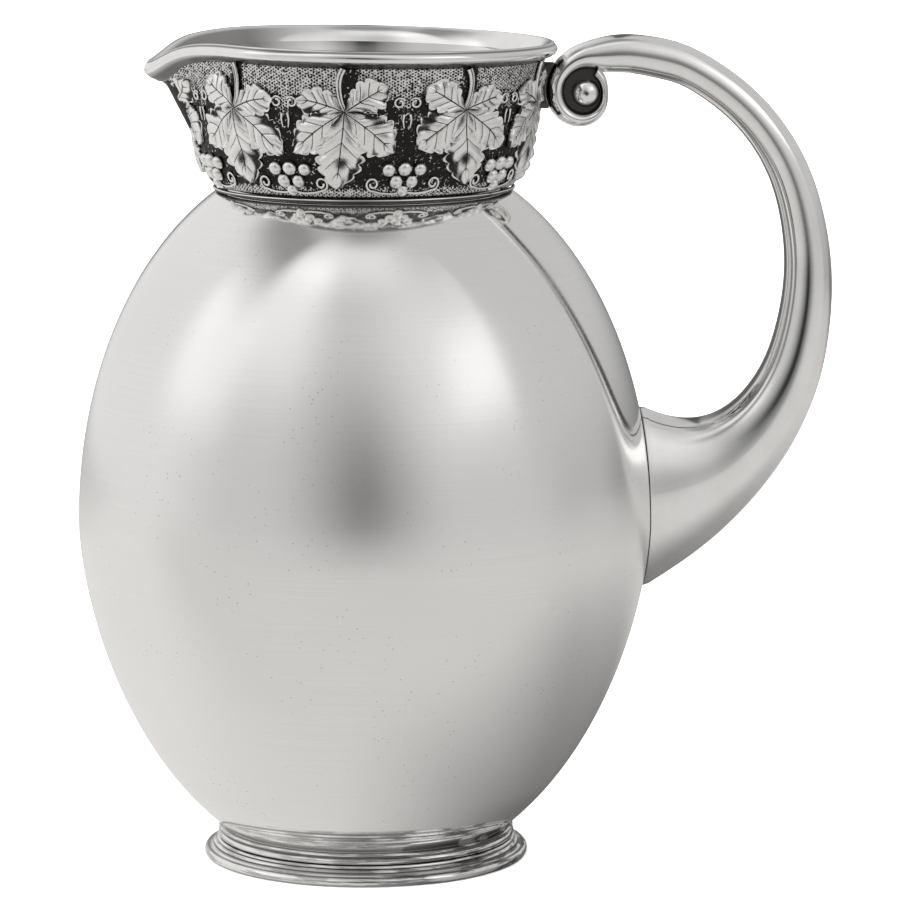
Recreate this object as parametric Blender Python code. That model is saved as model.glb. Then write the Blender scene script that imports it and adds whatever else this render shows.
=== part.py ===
"""A silver water pitcher with an applied vine collar, built as separate solids.

Frame: +Z up, handle towards +X, spout towards -X, standing on Z = 0. The origin is midway between the
belly and the handle's outer edge, so the pitcher's own axis stands at AXIS_X. Everything below is measured
from that axis, in millimetres and degrees; mesh_from() turns millimetres into metres.
"""

import math

import bpy
import bmesh
from mathutils import Vector

MM = 0.001
AXIS_X = -24.7
GAP = 0.3  # clearance left wherever one solid rests on another

# Body: an egg whose upper and lower halves meet at the belly. Each half's fullness is a pair of exponents;
# (2, 2) would be an ellipse.
BELLY_RADIUS = 76.7
BELLY_Z = 91.1
BODY_RISE = 100.6
RISE_FULLNESS = (2.0, 2.2)
BODY_FALL = 95.1
FALL_FULLNESS = (1.66, 2.26)
BODY_FLOOR_Z = 3.0
BODY_TOP_Z = 179.5
BODY_WALL = 1.2

# Foot: an upper band and a flared base ring.
FOOT_TOP_Z = 8.3
FOOT_SPLIT_Z = 5.0
FOOT_BAND_RADIUS = 39.5
FOOT_BASE_RADIUS = 43.5
FOOT_WALL = 2.2
SEAT_CLEARANCE = 0.1  # more than GAP, where a part is hollowed to seat another
# Outlines as (distance past the band's radius, depth below the piece's top), and the base's rounded edge as
# (distance inside the base's radius, z).
FOOT_BAND_OUTLINE = ((0.0, 0.15), (0.1, 0.6), (-0.35, 0.95), (0.15, 1.3), (0.4, 2.1))
FOOT_BASE_OUTLINE = ((0.2, 0.0), (0.8, 0.5), (1.0, 1.0), (1.8, 1.6), (2.7, 2.2))
FOOT_EDGE = ((0.5, 1.9), (0.0, 1.0), (0.2, 0.3), (0.8, 0.0))

# Collar: plain wire, inner liner and the chased outer band, with its ornaments.
BAND_BOTTOM_Z = 181.2
BAND_TOP_Z = 215.0
BAND_BOTTOM_RADIUS = 39.6
BAND_TOP_RADIUS = 47.9
BAND_SWELL = 1.6  # how far the band stands out past a straight cone
SWELL_SKEW = 0.55  # 1 would put the swell at mid height; less moves it down
BAND_WALL = 0.9
LINER_WALL = 0.8
WIRE_SIZE = 1.1

# Rim and spout. The spout's turns are degrees from the -X direction.
RIM_Z = 219.6
RIM_RADIUS = 51.2
RIM_OUTLINE = ((2.2, 0.3), (1.4, 0.0), (0.5, 0.5), (0.0, 1.6), (0.4, 2.8), (1.6, 3.7))  # inside, below
RIM_TILT = 0.018  # the rim climbs by this slope towards the spout
SPOUT_START_Z = 195.0
SPOUT_FULL_Z = 215.3
SPOUT_SWEEP = 1.7  # exponent of the spout's growth between those heights
BEAK_STRETCH = 0.133
BEAK_TURN = 11.0
PINCH_STRETCH = 0.045  # the flanks beside the beak are drawn in
PINCH_TURN = 33.0
PINCH_WIDTH = 14.0
LIP_DIP = 6.3
LIP_TURN = 8.5

# Handle: (outer edge x, z), (inner edge x, z), half width, from the body up to the scroll.
HANDLE_STATIONS = (
    ((75.2, 71.5), (75.0, 120.3), 13.0),
    ((90.0, 81.0), (81.5, 117.7), 11.6),
    ((103.2, 93.1), (90.2, 117.1), 9.8),
    ((113.6, 106.6), (98.0, 120.5), 8.5),
    ((120.3, 120.1), (104.4, 127.3), 7.6),
    ((124.2, 133.7), (109.5, 137.5), 7.0),
    ((125.9, 153.9), (112.9, 155.0), 6.4),
    ((123.2, 172.3), (111.5, 171.2), 6.0),
    ((117.5, 188.4), (107.4, 184.3), 5.7),
    ((105.7, 204.5), (98.8, 196.6), 5.4),
    ((90.0, 215.5), (86.0, 206.0), 5.2),
    ((80.5, 218.9), (79.0, 208.1), 5.1),
    ((70.5, 220.3), (70.8, 209.9), 5.1),
)
HANDLE_WALL = 1.0
HANDLE_SIDES = 14

# Scroll: a shoulder that carries on from the handle, as one more of its stations, then the strap's
# (outer, inner) radius about the eye at equal turns from straight above it.
SCROLL_SHOULDER = ((63.6, 219.6), (64.4, 209.9), 5.0)
SCROLL_CENTRE = (58.8, 204.7)
SCROLL_RADII = ((13.5, 6.3), (11.6, 6.1), (10.8, 5.7), (10.3, 5.5), (9.3, 5.2), (7.5, 4.5), (5.9, 3.9))
SCROLL_STEP = 45.0
SCROLL_END = 350.0
SCROLL_TIP = (4.3, 3.8)
SCROLL_HALF_WIDTH = (4.9, 4.0)  # at the strap's start and end
SCROLL_RINGS = 20
SCROLL_SIDES = 12
WEB_OFFSET = (-0.9, 0.6)
WEB_RADIUS = 6.6
WEB_HALF_WIDTH = 1.6
EYE_RADIUS = 3.45
EYE_HALF_WIDTH = 4.8
EYE_BORE = 2.2
PAD_HALF_WIDTH = 2.6
PAD_TURNS = (46.0, 112.0)

# Ornaments: nine of each around the collar, one leaf under the spout.
REPEATS = 9
STEP = 360.0 / REPEATS
SPOUT_AZIMUTH = 180.0
HANDLE_AZIMUTH = 0.0
ORNAMENT_RADIUS = 44.0  # turns a width along the band into an angle
LEAF_HEART_Z = 203.7
LEAF_THICK = 0.7
LEAF_CROWN = 0.3
# Half of the leaf's outline about its heart, from the tip up to the stem.
LEAF_HALF = (
    (0.0, -20.1), (3.6, -16.6), (5.2, -13.4), (5.8, -11.4),
    (9.6, -12.4), (12.4, -10.6), (13.6, -7.2), (12.6, -3.6), (10.6, -1.2), (9.4, 0.4),
    (10.6, 3.4), (10.7, 6.6), (7.8, 7.4), (5.0, 6.8), (2.4, 5.0),
)
STEM_HALF_WIDTH = 0.85
STEM_FOOT = 3.4
GRAPES = (
    (-4.4, 188.6, 1.75), (0.0, 188.8, 1.85), (4.3, 188.6, 1.65),
    (-2.2, 185.4, 1.7), (2.1, 185.4, 1.65), (-0.2, 183.0, 1.5),
)
CURL_CENTRE = (8.4, 184.8)
CURL_RADIUS = 1.6
SCROLLET_CENTRE = (2.0, 206.1)
SCROLLET_RADIUS = 1.15
SCROLLET_FOOT_Z = 201.1
SCROLLET_WIRE_RADIUS = 0.33
WIRE_RADIUS = 0.42

SEGMENTS = 40
BODY_ROWS = 16
SHARP_TURN = 35.0  # edges that turn by more than this stay sharp


def body_radius(z, inset=0.0):
    """Radius of the egg at height z, inset from the outside."""
    reach, (steep, blunt) = (BODY_RISE, RISE_FULLNESS) if z > BELLY_Z else (BODY_FALL, FALL_FULLNESS)
    share = min(1.0, abs(z - BELLY_Z) / (reach - inset))
    return (BELLY_RADIUS - inset) * (1.0 - share ** steep) ** (1.0 / blunt)


def band_radius(z):
    """Radius of the chased band's ground at height z."""
    t = min(1.0, max(0.0, (z - BAND_BOTTOM_Z) / (BAND_TOP_Z - BAND_BOTTOM_Z)))
    cone = BAND_BOTTOM_RADIUS + (BAND_TOP_RADIUS - BAND_BOTTOM_RADIUS) * t
    return cone + BAND_SWELL * math.sin(math.pi * t ** SWELL_SKEW)


def spout_warp(point):
    """Draws a round wall out into the beak on the -X side, tips it up towards the spout and dips the lip."""
    x, y, z = point
    turn = abs(math.degrees(math.atan2(y, -x)))
    growth = min(1.0, max(0.0, (z - SPOUT_START_Z) / (SPOUT_FULL_Z - SPOUT_START_Z))) ** SPOUT_SWEEP
    beak = BEAK_STRETCH * math.exp(-((turn / BEAK_TURN) ** 1.5))
    pinch = PINCH_STRETCH * math.exp(-(((turn - PINCH_TURN) / PINCH_WIDTH) ** 2))
    stretch = 1.0 + growth * (beak - pinch)
    dip = LIP_DIP * growth / math.cosh(turn / LIP_TURN)
    return Vector((x * stretch, y * stretch, z - dip - RIM_TILT * x * growth))


def placer(azimuth):
    """Gives the function that lays flat ornament points on the band around one azimuth."""
    def place(along, z, height):
        """A point by its distance along the band, its z and its height off the band's ground."""
        angle = math.radians(azimuth) + along / ORNAMENT_RADIUS
        radius = band_radius(z) + height
        return spout_warp((radius * math.cos(angle), radius * math.sin(angle), z))
    return place


def spline(points, steps):
    """Catmull-Rom curve through equal-length tuples, with steps spans between neighbours."""
    ends = [points[0]] + list(points) + [points[-1]]
    made = []
    for a, b, c, d in zip(ends, ends[1:], ends[2:], ends[3:]):
        for i in range(steps):
            t = i / steps
            point = []
            for p, q, r, s in zip(a, b, c, d):
                bend, twist = 2 * p - 5 * q + 4 * r - s, 3 * q - p - 3 * r + s
                point.append(0.5 * (2 * q + (r - p) * t + bend * t ** 2 + twist * t ** 3))
            made.append(tuple(point))
    made.append(tuple(points[-1]))
    return made


def material(name, colour, roughness):
    """A metallic Principled material."""
    made = bpy.data.materials.new(name)
    made.use_nodes = True
    shader = made.node_tree.nodes["Principled BSDF"]
    shader.inputs["Base Color"].default_value = (*colour, 1.0)
    shader.inputs["Metallic"].default_value = 1.0
    shader.inputs["Roughness"].default_value = roughness
    return made


def mesh_from(name, bm):
    """Closes the bmesh's book-keeping: outward normals, metres, smooth shading with sharp edges kept."""
    bm.normal_update()
    bmesh.ops.recalc_face_normals(bm, faces=bm.faces)
    bmesh.ops.scale(bm, vec=(MM, MM, MM), verts=bm.verts)
    mesh = bpy.data.meshes.new(name)
    bm.to_mesh(mesh)
    bm.free()
    mesh.shade_smooth()
    mesh.set_sharp_from_angle(angle=math.radians(SHARP_TURN))
    return mesh


def new_object(name, mesh, finish, parent):
    """Adds a mesh to the pitcher as one named piece."""
    mesh.materials.append(finish)
    piece = bpy.data.objects.new(name, mesh)
    bpy.context.scene.collection.objects.link(piece)
    piece.parent = parent
    return piece


def spun(profile, segments, closed=True):
    """Spins a list of (radius, z) about the axis. An open profile starts and ends on the axis."""
    bm = bmesh.new()
    verts = [bm.verts.new((radius, 0.0, z)) for radius, z in profile]
    edges = [bm.edges.new(pair) for pair in zip(verts, verts[1:])]
    if closed:
        edges.append(bm.edges.new((verts[-1], verts[0])))
    bmesh.ops.spin(
        bm, geom=verts + edges, cent=(0, 0, 0), axis=(0, 0, 1),
        angle=math.tau, steps=segments, use_merge=True,
    )
    bmesh.ops.remove_doubles(bm, verts=bm.verts, dist=1e-4)
    return bm


def wall_turns():
    """Turns about the axis at which the neck's walls are cut, closest together at the beak."""
    half = [0.0]
    for step, until in ((2.5, 20.0), (5.0, 60.0), (7.5, 180.0)):
        while half[-1] < until:
            half.append(half[-1] + step)
    return [-turn for turn in half[-2:0:-1]] + half


def neck_ring(profile):
    """A closed (radius, z) profile carried round the axis and drawn out into the spout."""
    bm = bmesh.new()
    loops = []
    for turn in wall_turns():
        angle = math.radians(SPOUT_AZIMUTH + turn)
        across, along = math.cos(angle), math.sin(angle)
        loops.append([bm.verts.new(spout_warp((r * across, r * along, z))) for r, z in profile])
    for first, second in zip(loops, loops[1:] + loops[:1]):
        for i in range(len(profile)):
            k = (i + 1) % len(profile)
            bm.faces.new((first[i], first[k], second[k], second[i]))
    return bm


def lofted(rings):
    """Skins rings with the same number of points. An end ring of one point is a tip; others are capped."""
    bm = bmesh.new()
    loops = [[bm.verts.new(p) for p in ring] for ring in rings]
    for first, second in zip(loops, loops[1:]):
        count = max(len(first), len(second))
        for i in range(count):
            corners = [first[i % len(first)], first[(i + 1) % len(first)],
                       second[(i + 1) % len(second)], second[i % len(second)]]
            bm.faces.new(list(dict.fromkeys(corners)))
    for loop in (loops[0], loops[-1]):
        if len(loop) > 2:
            bm.faces.new(loop)
    return bm


def tube(path, radii, sides, place):
    """Sweeps a round wire along (along, z) path points, so that it rests just off the band."""
    rings = []
    for i, ((u, z), radius) in enumerate(zip(path, radii)):
        before, after = path[max(0, i - 1)], path[min(len(path) - 1, i + 1)]
        run, rise = after[0] - before[0], after[1] - before[1]
        length = math.hypot(run, rise)
        across = (-rise / length, run / length)
        ring = []
        for k in range(sides):
            angle = math.tau * (k + 0.5) / sides
            side, up = radius * math.cos(angle), radius * (1.0 + math.sin(angle))
            ring.append(place(u + across[0] * side, z + across[1] * side, GAP + up))
        rings.append(ring)
    return lofted(rings)


def spiral(centre, radius, start, sweep, points, tightness=0.62):
    """Path points that wind in from the outside of a curl to its middle."""
    path = []
    for i in range(points):
        t = i / (points - 1)
        angle = math.radians(start + sweep * t)
        reach = radius * (1.0 - tightness * t)
        path.append((centre[0] + reach * math.cos(angle), centre[1] + reach * math.sin(angle)))
    return path


def mirrored(path):
    """The path on the other side of the ornament's middle."""
    return [(-u, z) for u, z in path]


def joined_mesh(name, base, parts):
    """Boolean union of closed bmeshes into one mesh."""
    helpers = [bpy.data.objects.new(name, mesh_from(name, bm)) for bm in [base] + parts]
    group = bpy.data.collections.new(name)
    for helper in helpers:
        bpy.context.scene.collection.objects.link(helper)
    for helper in helpers[1:]:
        group.objects.link(helper)
    union = helpers[0].modifiers.new("union", "BOOLEAN")
    union.operation = "UNION"
    union.solver = "EXACT"
    union.operand_type = "COLLECTION"
    union.collection = group
    graph = bpy.context.evaluated_depsgraph_get()
    mesh = bpy.data.meshes.new_from_object(helpers[0].evaluated_get(graph))
    mesh.name = name
    for helper in helpers:
        bpy.data.objects.remove(helper)
    bpy.data.collections.remove(group)
    return mesh


def body_mesh():
    """The raised body: closed floor, egg wall, open at the neck."""
    lowest = math.asin((BODY_FLOOR_Z - BELLY_Z) / BODY_FALL)
    highest = math.asin((BODY_TOP_Z - BELLY_Z) / BODY_RISE)
    turns = [lowest + (highest - lowest) * i / BODY_ROWS for i in range(BODY_ROWS + 1)]
    heights = [BELLY_Z + (BODY_RISE if turn > 0 else BODY_FALL) * math.sin(turn) for turn in turns]
    floor = BODY_FLOOR_Z + BODY_WALL
    outer = [(body_radius(z), z) for z in heights]
    inner = [(body_radius(z, BODY_WALL), z) for z in [floor] + heights[1:]]
    profile = [(0.0, BODY_FLOOR_Z)] + outer + inner[::-1] + [(0.0, floor)]
    return mesh_from("body_shell", spun(profile, SEGMENTS, closed=False))


def foot_band_mesh():
    """The foot's upper band: a narrow fillet, a groove and a soft moulding, hollowed to seat the body."""
    r, top, low = FOOT_BAND_RADIUS, FOOT_TOP_Z, FOOT_SPLIT_Z + GAP / 2
    seat = body_radius(top) + GAP + SEAT_CLEARANCE
    outer = [(r + past, top - depth) for past, depth in FOOT_BAND_OUTLINE] + [(r + 0.1, low)]
    inner = [(r - FOOT_WALL, low), (r - FOOT_WALL, top - 1.7), (seat - 0.5, top - 0.7), (seat, top - 0.15)]
    return mesh_from("foot_band", spun(outer + inner, SEGMENTS))


def foot_base_mesh():
    """The foot's base ring, flaring in two steps to the rounded edge it stands on."""
    r, base, top = FOOT_BAND_RADIUS, FOOT_BASE_RADIUS, FOOT_SPLIT_Z - GAP / 2
    inner = r - FOOT_WALL
    flare = [(r + past, top - depth) for past, depth in FOOT_BASE_OUTLINE]
    edge = [(base - within, z) for within, z in FOOT_EDGE]
    hollow = [(inner + 1.4, 0.0), (inner, 1.2), (inner, top)]
    return mesh_from("foot_base_ring", spun(flare + edge + hollow, SEGMENTS))


def wire_mesh():
    """The plain wire that hides the joint between the body and the collar."""
    r, low = body_radius(BODY_TOP_Z) + 0.5, BODY_TOP_Z + GAP
    half = WIRE_SIZE / 2
    profile = [(r + half * math.cos(a), low + half + half * math.sin(a))
               for a in (math.tau * (i + 0.5) / 6 for i in range(6))]
    return mesh_from("collar_wire", spun(profile, SEGMENTS))


def band_levels():
    """Heights at which the walls of the neck are cut, closest together where the spout sweeps out."""
    height = BAND_TOP_Z - BAND_BOTTOM_Z
    return [BAND_BOTTOM_Z + height * t for t in (0, 0.08, 0.25, 0.45, 0.6, 0.75, 0.88, 1)]


def band_mesh():
    """The chased band's ground, a cup that opens into the spout at its top."""
    outer = [(band_radius(z), z) for z in band_levels()]
    inner = [(radius - BAND_WALL, z) for radius, z in outer]
    return mesh_from("collar_band", neck_ring(outer + inner[::-1]))


def liner_mesh():
    """The smooth liner seen inside the mouth, standing in the body's neck."""
    drop = BAND_WALL + GAP + SEAT_CLEARANCE
    neck = body_radius(BODY_TOP_Z, BODY_WALL) - GAP - 0.2
    outer = [(neck, BODY_TOP_Z - 4.0), (neck, BAND_BOTTOM_Z - 0.3)]
    outer += [(band_radius(z) - drop, z) for z in band_levels()[1:]]
    inner = [(radius - LINER_WALL, z) for radius, z in outer]
    return mesh_from("neck_liner", neck_ring(outer + inner[::-1]))


def rim_mesh():
    """The thick polished rim, rolled outwards and drawn into the pouring lip."""
    low = BAND_TOP_Z + GAP
    inner = BAND_TOP_RADIUS - BAND_WALL - GAP - LINER_WALL
    roll = [(RIM_RADIUS - within, RIM_Z - depth) for within, depth in RIM_OUTLINE]
    funnel = [(BAND_TOP_RADIUS, low), (inner, low), (inner + 1.3, RIM_Z - 2.2)]
    return mesh_from("rim_with_spout", neck_ring(roll + funnel))


def section(outer, inner, half_width, sides, inset=0.0):
    """An oval ring between an outer and an inner edge point of the handle's plane."""
    centre = [(a + b) / 2 for a, b in zip(outer, inner)]
    half = [(a - b) / 2 for a, b in zip(outer, inner)]
    shrink = 1.0 - inset / math.hypot(*half)
    ring = []
    for k in range(sides):
        angle = math.tau * k / sides
        reach, side = math.cos(angle) * shrink, math.sin(angle) * (half_width - inset)
        ring.append((centre[0] + half[0] * reach, side, centre[1] + half[1] * reach))
    return ring


def seated(ring, inset):
    """The ring moved along X so that it stands just clear of the body."""
    moved = []
    for _, y, z in ring:
        wall = body_radius(z) + GAP
        moved.append((math.sqrt(wall * wall - y * y) + inset, y, z))
    return moved


def handle_mesh():
    """The hollow handle, open where it stands against the body and closed where the scroll begins."""
    flat = [(*outer, *inner, half) for outer, inner, half in HANDLE_STATIONS]
    stations = [((a, b), (c, d), e) for a, b, c, d, e in spline(flat, 2)]
    outside = [section(*station, HANDLE_SIDES) for station in stations]
    inside = [section(*station, HANDLE_SIDES, inset=HANDLE_WALL) for station in stations[:-1]]
    outside[0] = seated(outside[0], 0.0)
    inside[0] = seated(inside[0], 0.0)
    return mesh_from("handle", lofted(outside[::-1] + inside))


def scroll_edges(turn):
    """Outer and inner edge of the scroll's strap at a turn counted from straight above the eye."""
    place = turn / SCROLL_STEP
    last = len(SCROLL_RADII) - 1
    if place < last:
        low = int(place)
        share = place - low
        pair = zip(SCROLL_RADII[low], SCROLL_RADII[low + 1])
    else:
        share = (turn - last * SCROLL_STEP) / (SCROLL_END - last * SCROLL_STEP)
        pair = zip(SCROLL_RADII[last], SCROLL_TIP)
    angle = math.radians(90.0 + turn)
    return [(SCROLL_CENTRE[0] + reach * math.cos(angle), SCROLL_CENTRE[1] + reach * math.sin(angle))
            for reach in (a + (b - a) * share for a, b in pair)]


def scroll_mesh():
    """The solid scroll that ends the handle: a tapering strap wound round a web with a hole for the eye."""
    wide, narrow = SCROLL_HALF_WIDTH
    joint_outer, joint_inner, joint_half = HANDLE_STATIONS[-1]
    start = [(joint_outer[0] - GAP, joint_outer[1]), (joint_inner[0] - GAP, joint_inner[1])]
    rings = [section(*start, joint_half, SCROLL_SIDES), section(*SCROLL_SHOULDER, SCROLL_SIDES)]
    for i in range(SCROLL_RINGS + 1):
        share = i / SCROLL_RINGS
        half_width = wide + (narrow - wide) * share
        rings.append(section(*scroll_edges(SCROLL_END * share), half_width, SCROLL_SIDES))
    web = bmesh.new()
    bmesh.ops.create_cone(
        web, cap_ends=True, segments=24, radius1=WEB_RADIUS, radius2=WEB_RADIUS, depth=2 * WEB_HALF_WIDTH)
    bmesh.ops.translate(web, vec=(*WEB_OFFSET, 0.0), verts=web.verts)
    turn_and_place(web)
    return joined_mesh("handle_scroll", lofted(rings), [web])


def turn_and_place(bm):
    """Lays a shape made about Z along Y, at the scroll's centre."""
    for vert in bm.verts:
        x, y, z = vert.co
        vert.co = (SCROLL_CENTRE[0] + x, -z, SCROLL_CENTRE[1] + y)


def eye_profile():
    """Half outline of the eye: two balls on a thin shank."""
    reach = EYE_HALF_WIDTH - WEB_HALF_WIDTH - GAP
    inner = WEB_HALF_WIDTH + GAP
    head = [(EYE_RADIUS * math.cos(a), inner + reach * math.sin(a)) for a in
            (math.pi / 2 * i / 4 for i in range(4))]
    top = head + [(0.0, EYE_HALF_WIDTH)]
    shank = EYE_BORE - GAP
    return [(r, -z) for r, z in top[::-1]] + [(shank, -inner), (shank, inner)] + top


def eye_mesh():
    """The ball seen on each side of the scroll, in one piece through the hole in its web."""
    bm = spun(eye_profile(), 16, closed=False)
    turn_and_place(bm)
    return mesh_from("scroll_eye", bm)


def bore_for_eye(scroll):
    """Cuts the hole that the eye's shank passes through."""
    cutter_mesh = bmesh.new()
    bmesh.ops.create_cone(
        cutter_mesh, cap_ends=True, segments=16, radius1=EYE_BORE, radius2=EYE_BORE, depth=4 * WEB_HALF_WIDTH)
    turn_and_place(cutter_mesh)
    cutter = bpy.data.objects.new("eye_bore_cutter", mesh_from("eye_bore_cutter", cutter_mesh))
    bpy.context.scene.collection.objects.link(cutter)
    cutter.parent = scroll.parent
    cutter.hide_render = True
    cutter.display_type = "WIRE"
    cut = scroll.modifiers.new("eye_bore", "BOOLEAN")
    cut.operation = "DIFFERENCE"
    cut.object = cutter


def pad_mesh():
    """The small block that joins the scroll to the collar, shaped to both."""
    count = 6
    first, last = PAD_TURNS
    clear = GAP + SEAT_CLEARANCE / 2
    scroll_side = []
    for i in range(count):
        turn = first + (last - first) * i / (count - 1)
        angle = math.radians(90.0 + turn)
        (x, z), _ = scroll_edges(turn)
        scroll_side.append((x + clear * math.cos(angle), z + clear * math.sin(angle)))
    band_side = [(band_radius(z) + GAP, z) for _, z in scroll_side]
    outline = scroll_side + band_side[::-1]
    faces = [[(x, y, z) for x, z in outline] for y in (-PAD_HALF_WIDTH, PAD_HALF_WIDTH)]
    return mesh_from("scroll_pad", lofted(faces))


def leaf_outline():
    """The whole leaf with its stem, as (along, z) points about the heart."""
    stem_top = BAND_TOP_Z - 0.4 - LEAF_HEART_Z
    stem_middle = (STEM_FOOT + stem_top) / 2
    right = list(LEAF_HALF[1:]) + [(STEM_HALF_WIDTH, z) for z in (STEM_FOOT, stem_middle, stem_top)]
    return [LEAF_HALF[0]] + right + mirrored(right)[::-1]


def leaf_mesh(place):
    """A crowned plate with five lobes and a stem, standing just off the band."""
    outline = leaf_outline()
    top = GAP + LEAF_THICK
    crown = top + LEAF_CROWN
    rings = []
    front = [(0.0, crown), (0.5, crown), (1.0, top)]
    back = [(share, GAP) for share in (1.0, 0.6, 0.3, 0.0)]
    for share, height in front + back:
        ring = [place(u * share, LEAF_HEART_Z + z * share, height) for u, z in outline]
        rings.append(ring if share else ring[:1])
    return mesh_from("leaf", lofted(rings))


def grape(place, u, z, radius):
    """One grape: a dome that rests on the band."""
    sides = 7
    rings = [[place(u, z, GAP + radius)]]
    for polar in (50.0, 95.0):
        reach = radius * math.sin(math.radians(polar))
        height = GAP + 0.2 * radius + 0.8 * radius * math.cos(math.radians(polar))
        ring = []
        for k in range(sides):
            turn = math.tau * k / sides
            ring.append(place(u + reach * math.cos(turn), z + reach * math.sin(turn), height))
        rings.append(ring)
    return lofted(rings)


def bunch_mesh(place):
    """Six grapes on a thin backing, with a curling tendril out to each side."""
    low, high = GAP + 0.15, GAP + 0.6
    outline = [(-5.2, 187.7), (-3.2, 184.4), (-0.8, 182.4), (0.6, 182.4), (3.2, 184.4), (5.2, 187.7),
               (4.6, 189.1), (0.0, 189.5), (-4.6, 189.1)]
    backing = lofted([[place(u, z, height) for u, z in outline] for height in (low, high)])
    curl = [(0.5, 182.6), (4.2, 182.5)] + spiral(CURL_CENTRE, CURL_RADIUS + 0.5, -100, 430, 10)
    radii = [WIRE_RADIUS] * len(curl)
    tails = [tube(path, radii, 4, place) for path in (curl, mirrored(curl))]
    return joined_mesh("grape_bunch", backing, [grape(place, *g) for g in GRAPES] + tails)


def scrollet_mesh(place):
    """The upper tendril: one wire with a curl at each end and a pointed foot between."""
    curl = spiral(SCROLLET_CENTRE, SCROLLET_RADIUS, -50, 260, 8, tightness=0.3)
    right = [(0.0, SCROLLET_FOOT_Z), (0.9, SCROLLET_FOOT_Z + 1.6), (2.0, SCROLLET_FOOT_Z + 3.0)] + curl
    path = mirrored(right[1:])[::-1] + right
    return mesh_from("tendril", tube(path, [SCROLLET_WIRE_RADIUS] * len(path), 4, place))


def build():
    """Makes every piece and hangs it on the pitcher's axis."""
    for old in list(bpy.data.objects):
        bpy.data.objects.remove(old)
    satin = material("satin_silver", (0.80, 0.795, 0.785), 0.30)
    polished = material("polished_silver", (0.88, 0.875, 0.865), 0.10)
    oxidised = material("oxidised_silver", (0.20, 0.195, 0.19), 0.45)
    bright = material("chased_silver", (0.86, 0.855, 0.845), 0.24)

    pitcher = bpy.data.objects.new("pitcher", None)
    bpy.context.scene.collection.objects.link(pitcher)
    pitcher.location.x = AXIS_X * MM

    new_object("body_shell", body_mesh(), satin, pitcher)
    new_object("foot_band", foot_band_mesh(), polished, pitcher)
    new_object("foot_base_ring", foot_base_mesh(), polished, pitcher)
    new_object("collar_wire", wire_mesh(), polished, pitcher)
    new_object("collar_band", band_mesh(), oxidised, pitcher)
    new_object("neck_liner", liner_mesh(), polished, pitcher)
    new_object("rim_with_spout", rim_mesh(), polished, pitcher)
    new_object("handle", handle_mesh(), polished, pitcher)
    scroll = new_object("handle_scroll", scroll_mesh(), polished, pitcher)
    bore_for_eye(scroll)
    new_object("scroll_eye", eye_mesh(), polished, pitcher)
    new_object("scroll_pad", pad_mesh(), polished, pitcher)

    for i in range(REPEATS):
        place = placer(SPOUT_AZIMUTH + STEP * i)
        new_object(f"leaf_{i + 1}", leaf_mesh(place), bright, pitcher)
    for i in range(REPEATS):
        azimuth = SPOUT_AZIMUTH + STEP * (i + 0.5)
        place = placer(azimuth)
        new_object(f"grape_bunch_{i + 1}", bunch_mesh(place), bright, pitcher)
        if azimuth % 360.0 != HANDLE_AZIMUTH:
            new_object(f"tendril_{i + 1}", scrollet_mesh(place), bright, pitcher)


build()
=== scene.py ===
"""The looks of the silver water pitcher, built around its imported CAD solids.

Shapes are worked out in millimetres from the pitcher's own upright axis, whose place comes from the
frame; piece() moves them there and turns them into metres. Azimuths are degrees, counted as in the
CAD: handle at 0, spout at 180.
"""

import math

import bpy
import bmesh
import numpy as np
from mathutils import Matrix, Vector


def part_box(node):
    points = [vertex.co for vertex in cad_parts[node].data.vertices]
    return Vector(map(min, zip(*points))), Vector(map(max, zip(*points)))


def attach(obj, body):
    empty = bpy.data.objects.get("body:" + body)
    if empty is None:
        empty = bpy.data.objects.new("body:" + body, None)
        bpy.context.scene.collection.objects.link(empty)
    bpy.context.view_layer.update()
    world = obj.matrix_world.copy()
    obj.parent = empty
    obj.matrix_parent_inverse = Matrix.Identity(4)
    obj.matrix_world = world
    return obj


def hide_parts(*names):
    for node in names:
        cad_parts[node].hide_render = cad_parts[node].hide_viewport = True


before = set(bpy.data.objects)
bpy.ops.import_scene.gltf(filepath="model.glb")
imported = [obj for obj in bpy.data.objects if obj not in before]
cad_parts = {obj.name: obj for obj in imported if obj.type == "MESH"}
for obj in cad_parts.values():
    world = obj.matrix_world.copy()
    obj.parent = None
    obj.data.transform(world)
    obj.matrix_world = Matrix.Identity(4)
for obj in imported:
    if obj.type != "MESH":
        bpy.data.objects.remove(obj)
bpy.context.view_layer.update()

MM = 0.001


def box_mm(node):
    """A CAD node's lowest and highest corner in millimetres."""
    return [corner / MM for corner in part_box(node)]


# Sizes and places read from the frame.
FOOT_LOW, FOOT_HIGH = box_mm("foot_base_ring")
BODY_LOW, BODY_HIGH = box_mm("body_shell")
AXIS_X = (FOOT_LOW.x + FOOT_HIGH.x) / 2
FOOT_BASE_RADIUS = (FOOT_HIGH.y - FOOT_LOW.y) / 2
BELLY_RADIUS = (BODY_HIGH.y - BODY_LOW.y) / 2
BODY_FLOOR_Z = BODY_LOW.z
BODY_TOP_Z = BODY_HIGH.z
BAND_BOTTOM_Z = box_mm("collar_band")[0].z
FOOT_TOP_Z = box_mm("foot_band")[1].z

# The egg: reach above and below the belly, with the exponents that give each half its fullness.
BELLY_Z = 91.1
BODY_RISE = 100.6
RISE_FULLNESS = (2.0, 2.2)
BODY_FALL = 95.1
FALL_FULLNESS = (1.66, 2.26)
BODY_WALL = 1.2
FOOT_BAND_RADIUS = 39.5
FOOT_WALL = 2.2

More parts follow.
